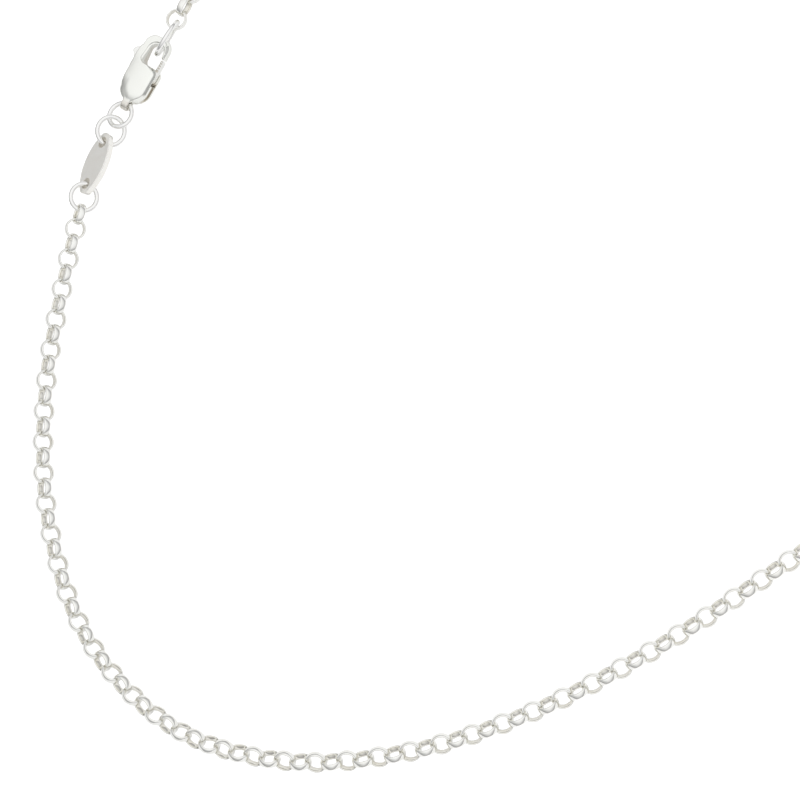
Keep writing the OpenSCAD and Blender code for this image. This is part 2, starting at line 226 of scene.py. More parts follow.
def math_node(tree, operation, *values, clamp=False):
    """The result of a sum on given numbers and sockets."""
    node = tree.nodes.new("ShaderNodeMath")
    node.operation = operation
    node.use_clamp = clamp
    for socket, value in zip(node.inputs, values):
        if isinstance(value, (int, float)):
            socket.default_value = value
        else:
            tree.links.new(value, socket)
    return node.outputs[0]


def noise_node(tree, vector, scale, detail=2.0, roughness=0.5):
    """Soft noise at a place, from 0 to 1."""
    node = tree.nodes.new("ShaderNodeTexNoise")
    node.inputs["Detail"].default_value = detail
    node.inputs["Roughness"].default_value = roughness
    tree.links.new(vector, node.inputs["Vector"])
    if isinstance(scale, (int, float)):
        node.inputs["Scale"].default_value = scale
    else:
        tree.links.new(scale, node.inputs["Scale"])
    return node.outputs["Fac"]


def spread(tree, value, low, high, start=0.0, end=1.0):
    """A value carried from the range low to high over to the range start to end."""
    node = tree.nodes.new("ShaderNodeMapRange")
    for name, given in (("Value", value), ("From Min", low), ("From Max", high), ("To Min", start),
                        ("To Max", end)):
        if isinstance(given, (int, float)):
            node.inputs[name].default_value = given
        else:
            tree.links.new(given, node.inputs[name])
    return node.outputs["Result"]


def in_millimetres(group, place):
    """A place in metres as one in millimetres."""
    node = group.nodes.new("ShaderNodeVectorMath")
    node.operation = "SCALE"
    node.inputs["Scale"].default_value = 1 / MM
    group.links.new(place, node.inputs[0])
    return node.outputs["Vector"]


def polish_marks():
    """Fine marks that tumbling and wear leave in polished silver."""
    group, given, out = new_group(
        "polish_marks",
        [("Marks per mm", "NodeSocketFloat", 3.0),
         ("Stretch", "NodeSocketVector", (1.0, 1.0, 1.0))],
        [("Height", "NodeSocketFloat"), ("Mask", "NodeSocketFloat")])
    broad_share, fine_share, fine_to_broad, mask_range = 0.6, 0.4, 3.7, (0.38, 0.62)
    drawn = group.nodes.new("ShaderNodeVectorMath")
    drawn.operation = "MULTIPLY"
    group.links.new(group.nodes.new("ShaderNodeTexCoord").outputs["Object"], drawn.inputs[0])
    group.links.new(given.outputs["Stretch"], drawn.inputs[1])
    place = in_millimetres(group, drawn.outputs["Vector"])
    scale = given.outputs["Marks per mm"]
    broad = noise_node(group, place, scale)
    fine = noise_node(group, place, math_node(group, "MULTIPLY", scale, fine_to_broad),
                      detail=3.0, roughness=0.6)
    height = math_node(group, "ADD", math_node(group, "MULTIPLY", broad, broad_share),
                       math_node(group, "MULTIPLY", fine, fine_share))
    group.links.new(height, out.inputs["Height"])
    group.links.new(spread(group, height, *mask_range), out.inputs["Mask"])
    return group


def silver_tone():
    """Colour of silver: bright where it is polished, with tarnish in patches, and darker and
    warmer in its recesses, as painted shade with some tarnish.
    """
    group, given, out = new_group(
        "silver_tone",
        [("Polished", "NodeSocketColor", (0.95, 0.95, 0.93, 1)),
         ("Tarnish_and_shade", "NodeSocketColor", (0.80, 0.77, 0.68, 1)),
         ("Depth", "NodeSocketFloat", 0.0),
         ("Amount", "NodeSocketFloat", 0.3),
         ("Patches per mm", "NodeSocketFloat", 0.4)],
        [("Color", "NodeSocketColor"), ("Mask", "NodeSocketFloat")])
    patch_range, least_recess_shade = (0.35, 0.7), 0.5
    place = in_millimetres(group, group.nodes.new("ShaderNodeTexCoord").outputs["Object"])
    noise = noise_node(group, place, given.outputs["Patches per mm"], detail=3.0)
    patches = spread(group, noise, *patch_range)
    # Painted shade with some tarnish: the recesses take the tarnish colour by their depth
    recess_shade_and_tarnish = math_node(group, "MULTIPLY", given.outputs["Depth"],
                       spread(group, patches, 0.0, 1.0, least_recess_shade, 1.0))
    open_to_air = math_node(group, "MULTIPLY", patches, given.outputs["Amount"])
    mask = math_node(group, "MAXIMUM", recess_shade_and_tarnish, open_to_air, clamp=True)
    mix = group.nodes.new("ShaderNodeMix")
    mix.data_type = "RGBA"
    group.links.new(mask, mix.inputs["Factor"])
    group.links.new(given.outputs["Polished"], mix.inputs[6])
    group.links.new(given.outputs["Tarnish_and_shade"], mix.inputs[7])
    group.links.new(mix.outputs[2], out.inputs["Color"])
    group.links.new(mask, out.inputs["Mask"])
    return group


MARKS = polish_marks()
TONE = silver_tone()


def named_value(tree, name):
    """A value that a mesh keeps for each of its points, and 0 where it keeps none."""
    node = tree.nodes.new("ShaderNodeAttribute")
    node.attribute_name = name
    return node.outputs["Fac"]


def silver(name, polished, tarnish_and_shade_colour, amount, depth, gloss, rough, marks, relief,
           stretch=(1, 1, 1), patches=0.4):
    """A silver finish: its colours, how much tarnish it has in the open, how dark its recesses are
    painted as shade with some tarnish, its roughness where it is bright and where it is marked,
    the size of its marks per mm and their relief in mm."""
    mark_strength = 0.5
    finish = bpy.data.materials.new(name)
    finish.use_nodes = True
    tree = finish.node_tree
    shader = tree.nodes["Principled BSDF"]
    shader.inputs["Metallic"].default_value = 1.0
    tone = tree.nodes.new("ShaderNodeGroup")
    tone.node_tree = TONE
    tone.inputs["Polished"].default_value = (*polished, 1)
    tone.inputs["Tarnish_and_shade"].default_value = (*tarnish_and_shade_colour, 1)
    tone.inputs["Amount"].default_value = amount
    tone.inputs["Patches per mm"].default_value = patches
    # Painted shade with some tarnish in the recesses, in the tarnish colour
    recess = named_value(tree, "recess")
    tree.links.new(math_node(tree, "MULTIPLY", recess, depth), tone.inputs["Depth"])
    tree.links.new(tone.outputs["Color"], shader.inputs["Base Color"])
    wear = tree.nodes.new("ShaderNodeGroup")
    wear.node_tree = MARKS
    wear.inputs["Marks per mm"].default_value = marks
    wear.inputs["Stretch"].default_value = stretch
    marked = math_node(tree, "MULTIPLY", wear.outputs["Mask"], mark_strength)
    blend = math_node(tree, "MAXIMUM", tone.outputs["Mask"], marked)
    dull = math_node(tree, "SUBTRACT", 1.0, named_value(tree, "rubbed"))
    tree.links.new(math_node(tree, "MULTIPLY", spread(tree, blend, 0.0, 1.0, gloss, rough), dull),
                   shader.inputs["Roughness"])
    bump = tree.nodes.new("ShaderNodeBump")
    bump.inputs["Strength"].default_value = 1.0
    bump.inputs["Distance"].default_value = relief * MM
    tree.links.new(wear.outputs["Height"], bump.inputs["Height"])
    tree.links.new(bump.outputs["Normal"], shader.inputs["Normal"])
    return finish


# Each finish's darker colour serves its tarnish and the painted shade in its recesses
chain_finish = silver(
    "chain_silver_polished", polished=(0.95, 0.95, 0.925), tarnish_and_shade_colour=(0.78, 0.735, 0.62),
    amount=0.14, depth=0.6, gloss=0.06, rough=0.17, marks=2.5, relief=0.003)
ring_finish = silver(
    "ring_silver_polished", polished=(0.945, 0.945, 0.935), tarnish_and_shade_colour=(0.80, 0.77, 0.68),
    amount=0.12, depth=0.4, gloss=0.06, rough=0.16, marks=2.0, relief=0.002)
# The clasp's and the lever's dark browns are mostly painted shade in their recesses
clasp_finish = silver(
    "clasp_silver_polished", polished=(0.95, 0.958, 0.918), tarnish_and_shade_colour=(0.66, 0.61, 0.54),
    amount=0.05, depth=0.8, gloss=0.09, rough=0.24, marks=1.6, relief=0.003)
lever_finish = silver(
    "clasp_silver_lever", polished=(0.95, 0.95, 0.93), tarnish_and_shade_colour=(0.52, 0.48, 0.40),
    amount=0.04, depth=1.0, gloss=0.14, rough=0.30, marks=3.0, relief=0.005)
pin_finish = silver(
    "clasp_silver_pin", polished=(0.90, 0.90, 0.88), tarnish_and_shade_colour=(0.72, 0.70, 0.62),
    amount=0.3, depth=0.3, gloss=0.18, rough=0.34, marks=4.0, relief=0.004)
tag_finish = silver(
    "tag_silver_grained", polished=(0.985, 0.975, 0.94), tarnish_and_shade_colour=(0.82, 0.78, 0.70),
    amount=0.16, depth=0.9, gloss=0.46, rough=0.62, marks=4.0, relief=0.010,
    stretch=(0.6, 2.2, 1.0), patches=0.8)


# ---------------------------------------------------------------- making of pieces

def add_piece(name, points, faces, finish, body, replaced, recess, rubbed=None):
    """A smooth piece from its points in metres, riding with a body in place of its model node;
    recess and rubbed say how deep and how worn each point lies."""
    mesh = bpy.data.meshes.new(name)
    mesh.from_pydata(points, [], faces)
    mesh.polygons.foreach_set("use_smooth", [True] * len(mesh.polygons))
    for label, values in (("recess", recess), ("rubbed", rubbed)):
        if values is not None:
            mesh.attributes.new(label, "FLOAT", "POINT").data.foreach_set("value", values)
    mesh.materials.append(finish)
    mesh.update()
    piece = bpy.data.objects.new(name, mesh)
    bpy.context.scene.collection.objects.link(piece)
    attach(piece, body)
    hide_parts(replaced)


def solids_of(node):
    """The points of each separate solid in a model node."""
    weld = 1e-7
    bm = bmesh.new()
    bm.from_mesh(frame["nodes"][node].data)
    bmesh.ops.remove_doubles(bm, verts=bm.verts, dist=weld)
    bm.verts.ensure_lookup_table()
    met = set()
    solids = []
    for first in bm.verts:
        if first in met:
            continue
        met.add(first)
        waiting, found = [first], []
        while waiting:
            vert = waiting.pop()
            found.append(vert.co[:])
            for edge in vert.link_edges:
                other = edge.other_vert(vert)
                if other not in met:
                    met.add(other)
                    waiting.append(other)
        solids.append(np.array(found))
    bm.free()
    return solids


def lie_of(points):
    """Middle of a solid and its own axes: longest, middle and shortest, the last pointing up."""
    middle = points.mean(axis=0)
    directions = np.linalg.eigh(np.cov((points - middle).T))[1]
    shortest, longest = directions[:, 0], directions[:, 2]
    level = 1e-4
    if shortest[2] < 0 or (abs(shortest[2]) < level and shortest[1] < 0):
        shortest = -shortest
    if longest[0] < 0:
        longest = -longest
    return middle, np.array([longest, np.cross(shortest, longest), shortest])


def band_section():
    """Section of a link's band as [out from the bore, along the link's axis]: flat inside with
    eased edges, and slightly crowned outside."""
    flat, half = BAND_FLAT / 2, BAND_WIDTH / 2
    eased = ((1 - BAND_EASE) * BAND_BEVEL, flat + BAND_EASE * (half - flat))
    inner = [(0.0, 0.0), (0.0, flat), eased]
    outer = []
    for i in range(CROWN_STEPS + 1):
        turn = math.pi * (0.5 - i / CROWN_STEPS)
        out = max(0.0, math.cos(turn)) ** CROWN_POWER
        side = math.copysign(abs(math.sin(turn)) ** CROWN_POWER, math.sin(turn))
        outer.append((BAND_BEVEL + (BAND_THICKNESS - BAND_BEVEL) * out, half * side))
    return inner + outer + [(depth, -height) for depth, height in inner[:0:-1]]


def swept_ring(middle, axes, section, radius, steps):
    """Points of a section carried round a circle, in metres."""
    along, across, up = axes
    points = []
    for i in range(steps):
        a = 2 * math.pi * i / steps
        out = along * math.cos(a) + across * math.sin(a)
        for depth, height in section:
            points.append(middle + (out * (radius + depth) + up * height) * MM)
    return points


def ring_faces(steps, count, start=0):
    """Faces between the sections of a swept ring whose points begin at start."""
    faces = []
    for i in range(steps):
        here, there = start + i * count, start + (i + 1) % steps * count
        for k in range(count):
            after = (k + 1) % count
            faces.append((here + k, there + k, there + after, here + after))
    return faces


def make_links(name, node):
    """A run of links, one for each solid of its model node, darkened in their bores by painted
    shade with some tarnish.
    """
    section = band_section()
    count = len(section)
    # Painted shade with some tarnish on each band's flat inside, fading over its eased edges
    shades = [max(0.0, 1 - depth / BAND_BEVEL) for depth, height in section]
    points, faces, recess = [], [], []
    for solid in solids_of(node):
        middle, axes = lie_of(solid)
        faces += ring_faces(LINK_STEPS, count, len(points))
        points += swept_ring(middle, axes, section, LINK_OD / 2 - BAND_THICKNESS, LINK_STEPS)
        recess += shades * LINK_STEPS
    add_piece(name, points, faces, chain_finish, "necklace", node, recess)


def make_ring(name, node):
    """A closed jump ring of round wire, a little darker and warmer in its bore."""
    middle, axes = lie_of(solids_of(node)[0])
    wire = RING_WIRE / 2
    turns = [2 * math.pi * k / WIRE_STEPS for k in range(WIRE_STEPS)]
    section = [(wire * math.sin(turn), wire * math.cos(turn)) for turn in turns]
    points = swept_ring(middle, axes, section, RING_OD[node] / 2 - wire, RING_STEPS)
    recess = [RING_BORE_DARKENING * max(0.0, -math.sin(turn)) for turn in turns] * RING_STEPS
    add_piece(name, points, ring_faces(RING_STEPS, WIRE_STEPS), ring_finish, "necklace", node,
              recess)


# ---------------------------------------------------------------- cast pieces

def rise(value, run=1.0):
    """How far a value has come over a run from 0, as a share from 0 to 1."""
    return np.clip(value / run, 0, 1)


def soft(share):
    """A share from 0 to 1 with a soft start and a soft end."""
    return share * share * (3 - 2 * share)


def corner_of(a, b):
    """Distance to a corner between two flat sides, from the distance past each side."""
    return np.hypot(np.maximum(a, 0), np.maximum(b, 0)) + np.minimum(np.maximum(a, b), 0)


def disc(x, y, middle, radius):
    """Distance to a circle."""
    return np.hypot(x - middle[0], y - middle[1]) - radius


def block(x, y, low, high):
    """Distance to a rectangle from its low to its high corner."""
    return corner_of(abs(x - (low[0] + high[0]) / 2) - (high[0] - low[0]) / 2,
                     abs(y - (low[1] + high[1]) / 2) - (high[1] - low[1]) / 2)


def outline(x, y, corners):
    """Distance to a drawn outline with straight sides."""
    best = np.full(x.shape, np.inf)
    inside = np.zeros(x.shape, bool)
    for i, (ax, ay) in enumerate(corners):
        bx, by = corners[i - 1]
        ex, ey = bx - ax, by - ay
        wx, wy = x - ax, y - ay
        t = np.clip((wx * ex + wy * ey) / (ex * ex + ey * ey), 0, 1)
        best = np.minimum(best, (wx - ex * t) ** 2 + (wy - ey * t) ** 2)
        crosses = (ay > y) != (by > y)
        if ey != 0:
            inside ^= crosses & (x < ax + (y - ay) * ex / ey)
    return np.where(inside, -np.sqrt(best), np.sqrt(best))


def join(a, b, fillet=0.0):
    """Two bodies as one, with a fillet where they meet."""
    if np.ndim(fillet) == 0 and fillet == 0:
        return np.minimum(a, b)
    h = np.maximum(fillet - abs(a - b), 0) / fillet
    return np.minimum(a, b) - h * h * fillet / 4


def trim(a, b, edge=0.0):
    """What two bodies share, with its new edge eased."""
    return -join(-a, -b, edge)


def plate(plan, z, half, edge):
    """A plan given a thickness, with its edges rounded."""
    return corner_of(plan + edge, abs(z) - half + edge) - edge


def bevel(plan, below, width):
    """The slope that takes an upper edge off, a little steeper than it is wide."""
    return (plan + BEVEL_STEEP * below + width) / math.hypot(1, BEVEL_STEEP)


def cast_surface(shape, low, high):
    """Points and four-sided faces of a body's skin, from its distance field: one point for each
    grid cell that the skin passes through, settled on the skin."""
    axes = [np.arange(start - CAST_CELL * CAST_SHIFT, end + 2 * CAST_CELL, CAST_CELL)
            for start, end in zip(low, high)]
    grid = np.meshgrid(*axes, indexing="ij")
    field = shape(*grid)
    solid = field < 0
    cells = tuple(n - 1 for n in field.shape)
    total, hits = np.zeros(cells + (3,)), np.zeros(cells)
    corner = np.stack(grid, axis=-1)

    def part(values, shift):
        return values[tuple(slice(shift[i], shift[i] + cells[i]) for i in range(3))]

    for axis in range(3):
        others = [i for i in range(3) if i != axis]
        for first in (0, 1):
            for second in (0, 1):
                start = [0, 0, 0]
                start[others[0]], start[others[1]] = first, second
                end = list(start)
                end[axis] = 1
                a, b = part(field, start), part(field, end)
                cut = (a < 0) != (b < 0)
                t = np.where(cut, a / np.where(cut, a - b, 1), 0)
                place = part(corner, start).copy()
                place[..., axis] += t * CAST_CELL
                total += place * cut[..., None]
                hits += cut
    used = hits > 0
    index = np.full(cells, -1)
    index[used] = np.arange(used.sum())
    return settle(shape, total[used] / hits[used][:, None]), skin_faces(solid, index)


def skin_faces(solid, index):
    """The faces between the grid's solid and empty corners, through the points of their cells."""
    faces = []
    for axis in range(3):
        u, v = (axis + 1) % 3, (axis + 2) % 3
        here = [slice(None)] * 3
        there = [slice(None)] * 3
        here[axis], there[axis] = slice(0, -1), slice(1, None)
        change = solid[tuple(here)].astype(int) - solid[tuple(there)].astype(int)
        found = np.argwhere(change != 0)
        found = found[(found[:, u] > 0) & (found[:, v] > 0)]
        turn = change[tuple(found.T)]
        step_u, step_v = np.eye(3, dtype=int)[u], np.eye(3, dtype=int)[v]
        ring = [found - step_u - step_v, found - step_v, found, found - step_u]
        quads = np.stack([index[tuple(r.T)] for r in ring], axis=1)
        quads[turn < 0] = quads[turn < 0][:, ::-1]
        faces.append(quads)
    return np.concatenate(faces).tolist()


def settle(shape, points):
    """Points near a body's skin moved onto it, in small steps along the field's slope."""
    small = CAST_CELL * 0.05
    flattest = 0.25
    longest = 0.5 * CAST_CELL
    for _ in range(CAST_ROUNDS):
        here = shape(*points.T)
        steps = small * np.eye(3)
        slope = np.stack([(shape(*(points + step).T) - shape(*(points - step).T)) / (2 * small)
                          for step in steps], axis=1)
        size = np.maximum((slope ** 2).sum(axis=1), flattest)
        move = -(here / size)[:, None] * slope
        length = np.maximum(np.linalg.norm(move, axis=1), 1e-9)
        points = points + move * np.minimum(1, longest / length)[:, None]
    return points


def set_down(points, middle, axes):
    """Points in a piece's own frame, in millimetres, put at its place in metres."""
    return middle + (points @ np.array(axes)) * MM


body_r = BODY_WIDTH / 2
body_round = BODY_START + body_r
hook_r = HOOK_WIDTH / 2
hook_bore = hook_r - HOOK_ARM
hook_end = BODY_TOP + HOOK_OPENING + HOOK_TOP
hook_middle = hook_end - hook_r
bore_middle = BODY_TOP + HOOK_OPENING - hook_bore
pivot = (BODY_START + PIVOT_ALONG * BODY_LENGTH, -PIVOT_ASIDE * body_r)
gate_outer = -hook_r - HOOK_OFFSET - GATE_PROUD
gate_inner = gate_outer + GATE_WIDTH
gate_radius = math.hypot(bore_middle - HOOK_TIP - pivot[0],
                         gate_outer + HOOK_ARM - pivot[1]) - LEVER_GAP
boss_r = PIN_D / 2 + PIN_CLEARANCE + BOSS_WALL
cavity = LEVER_THICKNESS / 2 + LEVER_GAP
cavity_back = pivot[0] - boss_r - 3 * LEVER_GAP
arm_top = BODY_TOP - 2 * HOOK_ARM - LEVER_GAP
tab_inner = body_r - GATE_WIDTH
tab_top = BODY_TOP + SHOULDER_RISE
tab_end = tab_top + 1.5 * TAB_REACH
eye_outer = EYE_BORE / 2 + EYE_WALL


def clasp_lie():
    """Origin and axes of the clasp, from the pin that its lever turns on."""
    hinge = next(j for j in frame["joints"] if j["name"] == "lever_hinge")
    up = np.array(hinge["axis"], float)
    up /= np.linalg.norm(up)
    level = np.array([-up[0], -up[1], 0.0])
    level /= np.linalg.norm(level)
    along = level * up[2] + np.array([0, 0, 1.0]) * math.hypot(up[0], up[1])
    across = np.cross(up, along)
    middle = np.array(hinge["pos_m"]) - (along * pivot[0] + across * pivot[1]) * MM
    return middle, np.array([along, across, up])


def lever_room(x, y, z):
    """The room that the lever turns in, open at both sides of the body."""
    plan = disc(x, y, pivot, boss_r + LEVER_GAP)
    swing = trim(disc(x, y, pivot, gate_radius + LEVER_GAP), outline(x, y, [
        (pivot[0] - boss_r - LEVER_GAP, pivot[1]), (pivot[0] - boss_r - LEVER_GAP, -BODY_WIDTH),
        (hook_end, -BODY_WIDTH), (hook_end, -HOOK_OFFSET),
        (arm_top + LEVER_GAP, -HOOK_OFFSET), (arm_top + LEVER_GAP, pivot[1])]))
    tab = outline(x, y, [
        (cavity_back, pivot[1]), (arm_top + LEVER_GAP, pivot[1]),
        (arm_top + LEVER_GAP, tab_inner - LEVER_GAP), (tab_end + LEVER_GAP, tab_inner - LEVER_GAP),
        (tab_end + LEVER_GAP, BODY_WIDTH), (cavity_back, BODY_WIDTH)])
    room = np.maximum(join(join(plan, swing), tab), abs(z) - cavity)
    back = outline(x, y, [(SLOT_START, -BODY_WIDTH), (SLOT_START, SLOT_DEPTH - body_r),
                          (pivot[0], SLOT_DEPTH - body_r), (pivot[0], -BODY_WIDTH)])
    return join(room, np.maximum(back, abs(z + SLOT_DROP) - SLOT_HEIGHT / 2))


def body_plan(x, y):
    """The body seen from above: round at the eye, with a rounded corner beside the gate and a
    side that runs up past the thumb tab."""
    corner = BODY_CORNER * body_r
    straight = corner_of(x - BODY_TOP + corner, -y - body_r + corner) - corner
    straight = np.maximum(np.maximum(straight, y - body_r), body_round - x)
    side = block(x, y, (body_round, body_r - SHOULDER_RISE), (BODY_TOP + SIDE_RISE, body_r))
    return join(join(disc(x, y, (body_round, 0), body_r), straight), side)


def hook_outline(x, y):
    """The hook without its opening: its arm beside the thumb tab is the thicker one."""
    across = y + HOOK_OFFSET
    past = across - np.clip(across, 0, HOOK_SIDE)
    root = block(x, across, (BODY_TOP - 2 * HOOK_ARM, -hook_r), (hook_middle, hook_r + HOOK_SIDE))
    gate = trim(disc(x, y, pivot, gate_radius + LEVER_GAP), across)
    return trim(join(np.hypot(x - hook_middle, past) - hook_r, root), -gate, HOOK_CUT_EASE)


def hook_opening(x, y):
    """The hook's opening: round at its end, with rounded corners at the body."""
    across = y + HOOK_OFFSET
    corner = OPENING_CORNER * hook_bore
    foot = corner_of(BODY_TOP - x + corner, abs(across) - hook_bore + corner) - corner
    return join(disc(x, across, (bore_middle, 0), hook_bore), np.maximum(foot, x - bore_middle))


def face_height(x, y, plan):
    """How high the body's face stands above its middle plane."""
    fall = (HOOK_HEIGHT - BODY_THICKNESS) / 2 * soft(rise(x - BODY_TOP + FALL_START, FALL_RUN))
    sag = CROWN_RADIUS - np.sqrt(CROWN_RADIUS ** 2 - np.minimum(abs(y), CROWN_REACH) ** 2)
    height = join(BODY_THICKNESS / 2 + fall, BODY_THICKNESS / 2 - sag, CROWN_BLEND)
    to_left = rise(y, SIDE_BLEND)
    eye_end = soft(rise(body_round - SLOPE_START + SLOPE_LEAD * to_left - x, SLOPE_RUN))
    side = SIDE_SLOPE * to_left * rise(BODY_TOP + SIDE_END - x, SIDE_BLEND)
    slope = np.minimum(np.maximum(SLOPE_WIDTH + plan, 0) ** 2 / (2 * SLOPE_RADIUS), SLOPE_DEPTH)
    return height - slope * np.minimum(eye_end + side, 1)


def clasp_body_shape(x, y, z):
    """The clasp's body with its hook and its eye."""
    plan = join(body_plan(x, y), hook_outline(x, y), HOOK_BLEND)
    height = face_height(x, y, plan)
    body = plate(plan, z, height, BODY_EDGE)
    body = trim(body, bevel(plan, z - height, BODY_BEVEL * rise(-y, SIDE_BLEND)), BEVEL_EASE)
    opening = hook_opening(x, y)
    body = trim(body, -opening, OPENING_EASE)
    rim = RIM_LEDGE * rise(x - BODY_TOP, RIM_RISE)
    above_ledge = np.minimum(bevel(rim - opening, z - height, rim), z - height + RIM_LEDGE)
    body = trim(body, above_ledge, RIM_EASE)
    body = trim(body, -lever_room(x, y, z), ROOM_EASE)
    from_band = np.hypot(x, z) - EYE_BORE / 2 - EYE_WALL / 2
    body = trim(body, -from_band, OPENING_EASE)
    eye = plate(abs(from_band) - EYE_WALL / 2, y, EYE_WIDTH / 2, EYE_EDGE)
    body = join(body, eye, EYE_BLEND)
    seat = np.maximum(disc(x, y, pivot, PIN_D / 2 + PIN_PLAY), abs(z) - cavity - PIN_SEAT)
    return np.maximum(body, -seat)


def body_shade_and_tarnish(x, y, z):
    """How far the body is painted darker: shade in the lever's room and on the lower wall of the
    hook's opening, and shade with some tarnish at the eye."""
    # Painted shade in the lever's room and on the opening's lower wall, painted shade with some
    # tarnish at the eye
    room = rise(ROOM_EASE - lever_room(x, y, z), ROOM_EASE)
    room = room * np.clip((pivot[0] - x) / ROOM_FADE + ROOM_AT_PIVOT, ROOM_PAST_PIVOT, 1)
    wall = rise(WALL_REACH - hook_opening(x, y), WALL_FADE) * rise(WALL_TOP - z, WALL_TOP_FADE)
    eye = EYE_SHADE_AND_TARNISH * rise(EYE_REACH - x, EYE_FADE)
    return np.maximum(np.maximum(room, eye), WALL_SHADE * wall)


def rib_places():
    """Where the gate's ribs lie along the clasp."""
    span = gate_radius + pivot[0] - BODY_TOP - RIB_MARGIN * GATE_WIDTH
    return [BODY_TOP + GATE_WIDTH / 2 + i * span / (RIB_COUNT - 1) for i in range(RIB_COUNT)]


def lever_shape(x, y, z):
    """The lever: its boss on the pin, the gate with its ribs, and the thumb tab."""
    gate = trim(disc(x, y, pivot, gate_radius), outline(x, y, [
        (pivot[0] - boss_r, pivot[1]), (pivot[0] - boss_r, gate_outer + GATE_WIDTH),
        (pivot[0] - boss_r / 2, gate_outer + GATE_WIDTH / 4), (pivot[0], gate_outer),
        (pivot[0] + gate_radius, gate_outer), (pivot[0] + gate_radius, gate_inner),
        (BODY_TOP - GATE_WIDTH, gate_inner), (arm_top, pivot[1] + boss_r / 2), pivot]))
    tab = outline(x, y, [
        pivot, (arm_top, pivot[1] + boss_r / 2), (arm_top, tab_inner),
        (tab_top, tab_inner + LEVER_GAP), (tab_end, body_r),
        (tab_top + 1.1 * TAB_REACH, body_r + 0.7 * TAB_REACH),
        (tab_top + 0.5 * TAB_REACH, body_r + TAB_REACH), (tab_top, body_r + 0.6 * TAB_REACH),
        (BODY_TOP - GATE_WIDTH, body_r - LEVER_GAP),
        (pivot[0] + GATE_WIDTH / 2, body_r - GATE_WIDTH / 2),
        (pivot[0] - LEVER_GAP, body_r - 2 * GATE_WIDTH),
        (pivot[0] - boss_r, pivot[1] + GATE_WIDTH)])
    plan = join(join(disc(x, y, pivot, boss_r), gate), tab, LEVER_EDGE)
    lever = plate(plan, z, LEVER_THICKNESS / 2, LEVER_EDGE)
    for place in rib_places():
        rib = np.maximum(disc(x, z, (place, LEVER_THICKNESS / 2), RIB_RADIUS),
                         abs(y - gate_outer - GATE_WIDTH / 2) - GATE_WIDTH / 2)
        lever = join(lever, rib, RIB_EASE)
    return np.maximum(lever, -disc(x, y, pivot, PIN_D / 2 + PIN_CLEARANCE))


def lever_shade_and_tarnish(x, y, z):
    """How far the lever is painted darker: shade inside the body, and shade with some tarnish
    between the ribs.
    """
    # Painted shade where the lever lies inside the body
    inside = INSIDE_SHADE * ((x < BODY_TOP) & (y < body_r) & (y > gate_inner))
    from_rib = np.min([abs(x - rib) for rib in rib_places()], axis=0)
    on_top = z > LEVER_THICKNESS / 2 - GROOVE_DEPTH
    on_gate = (y < gate_inner + GROOVE_PAST_GATE) & (x > BODY_TOP - GROOVE_PAST_BODY)
    return np.maximum(inside, rise(from_rib / RIB_RADIUS - GROOVE_START) * (on_top & on_gate))


def make_clasp():
    """The body and the lever, cast in the clasp's own frame."""
    middle, axes = clasp_lie()
    low = (-eye_outer, -body_r - CAST_SPARE, -BODY_THICKNESS / 2)
    high = (hook_end, body_r, BODY_THICKNESS / 2)
    points, faces = cast_surface(clasp_body_shape, low, high)
    add_piece("clasp_body_cast", set_down(points, middle, axes), faces, clasp_finish, "necklace",
              "clasp_body", body_shade_and_tarnish(*points.T))
    low = (pivot[0] - boss_r, gate_outer, -LEVER_THICKNESS / 2)
    high = (max(pivot[0] + gate_radius, tab_end), body_r + TAB_REACH,
            LEVER_THICKNESS / 2 + RIB_RADIUS)
    points, faces = cast_surface(lever_shape, low, high)
    add_piece("clasp_lever_cast", set_down(points, middle, axes), faces, lever_finish, "lever",
              "clasp_lever", lever_shade_and_tarnish(*points.T))


tag_span = TAG_LENGTH - 2 * TAG_TIP - TAG_HOLE_D


def tag_shape(x, y, z):
    """The tag: a pointed lens with rounded ends, a hole at each end and sides that lean in."""
    half = TAG_WIDTH / 2
    bulge = ((TAG_LENGTH * TAG_ARCS_MEET) ** 2 + half ** 2) / TAG_WIDTH
    lens = np.maximum(disc(x, y, (0, half - bulge), bulge), disc(x, y, (0, bulge - half), bulge))
    ends = join(block(x, y, (-tag_span / 2, -half), (tag_span / 2, half)),
                disc(abs(x), y, (tag_span / 2, 0), (TAG_LENGTH - tag_span) / 2))
    plan = trim(lens, ends, TAG_CORNER) - TAG_DRAFT * z
    plan = trim(plan, -disc(abs(x), y, (tag_span / 2, 0), TAG_HOLE_D / 2))
    return plate(plan, z, TAG_THICKNESS / 2, TAG_EDGE)


def make_tag():
    """The tag, darker and warmer round its holes and rubbed brighter round its side."""
    middle, axes = lie_of(solids_of("tag")[0])
    half = (TAG_LENGTH / 2, TAG_WIDTH / 2, TAG_THICKNESS / 2)
    points, faces = cast_surface(tag_shape, [-v for v in half], half)
    x, y, z = points.T
    holes = rise(TAG_BORE_RIM - disc(abs(x), y, (tag_span / 2, 0), TAG_HOLE_D / 2), TAG_BORE_RIM)
    off_holes = holes < 0.2
    side = TAG_SIDE_RUB * rise(TAG_THICKNESS / 2 - abs(z), TAG_EDGE) * off_holes
    add_piece("tag_plate", set_down(points, middle, axes), faces, tag_finish, "necklace", "tag",
              holes, side)


make_links("chain_front_links", "chain_front")
make_links("chain_back_links", "chain_back")
for ring in RING_OD:
    make_ring(ring + "_wire", ring)
make_clasp()
make_tag()
pin = frame["nodes"]["pivot_pin"]
for slot in pin.material_slots:
    slot.material = pin_finish


# ---------------------------------------------------------------- floor, light and camera

def far_left(tree, split):
    """How far a place or direction lies towards the far left."""
    return math_node(tree, "ADD", math_node(tree, "MULTIPLY", split.outputs["X"], FAR_LEFT[0]),
                     math_node(tree, "MULTIPLY", split.outputs["Y"], FAR_LEFT[1]))


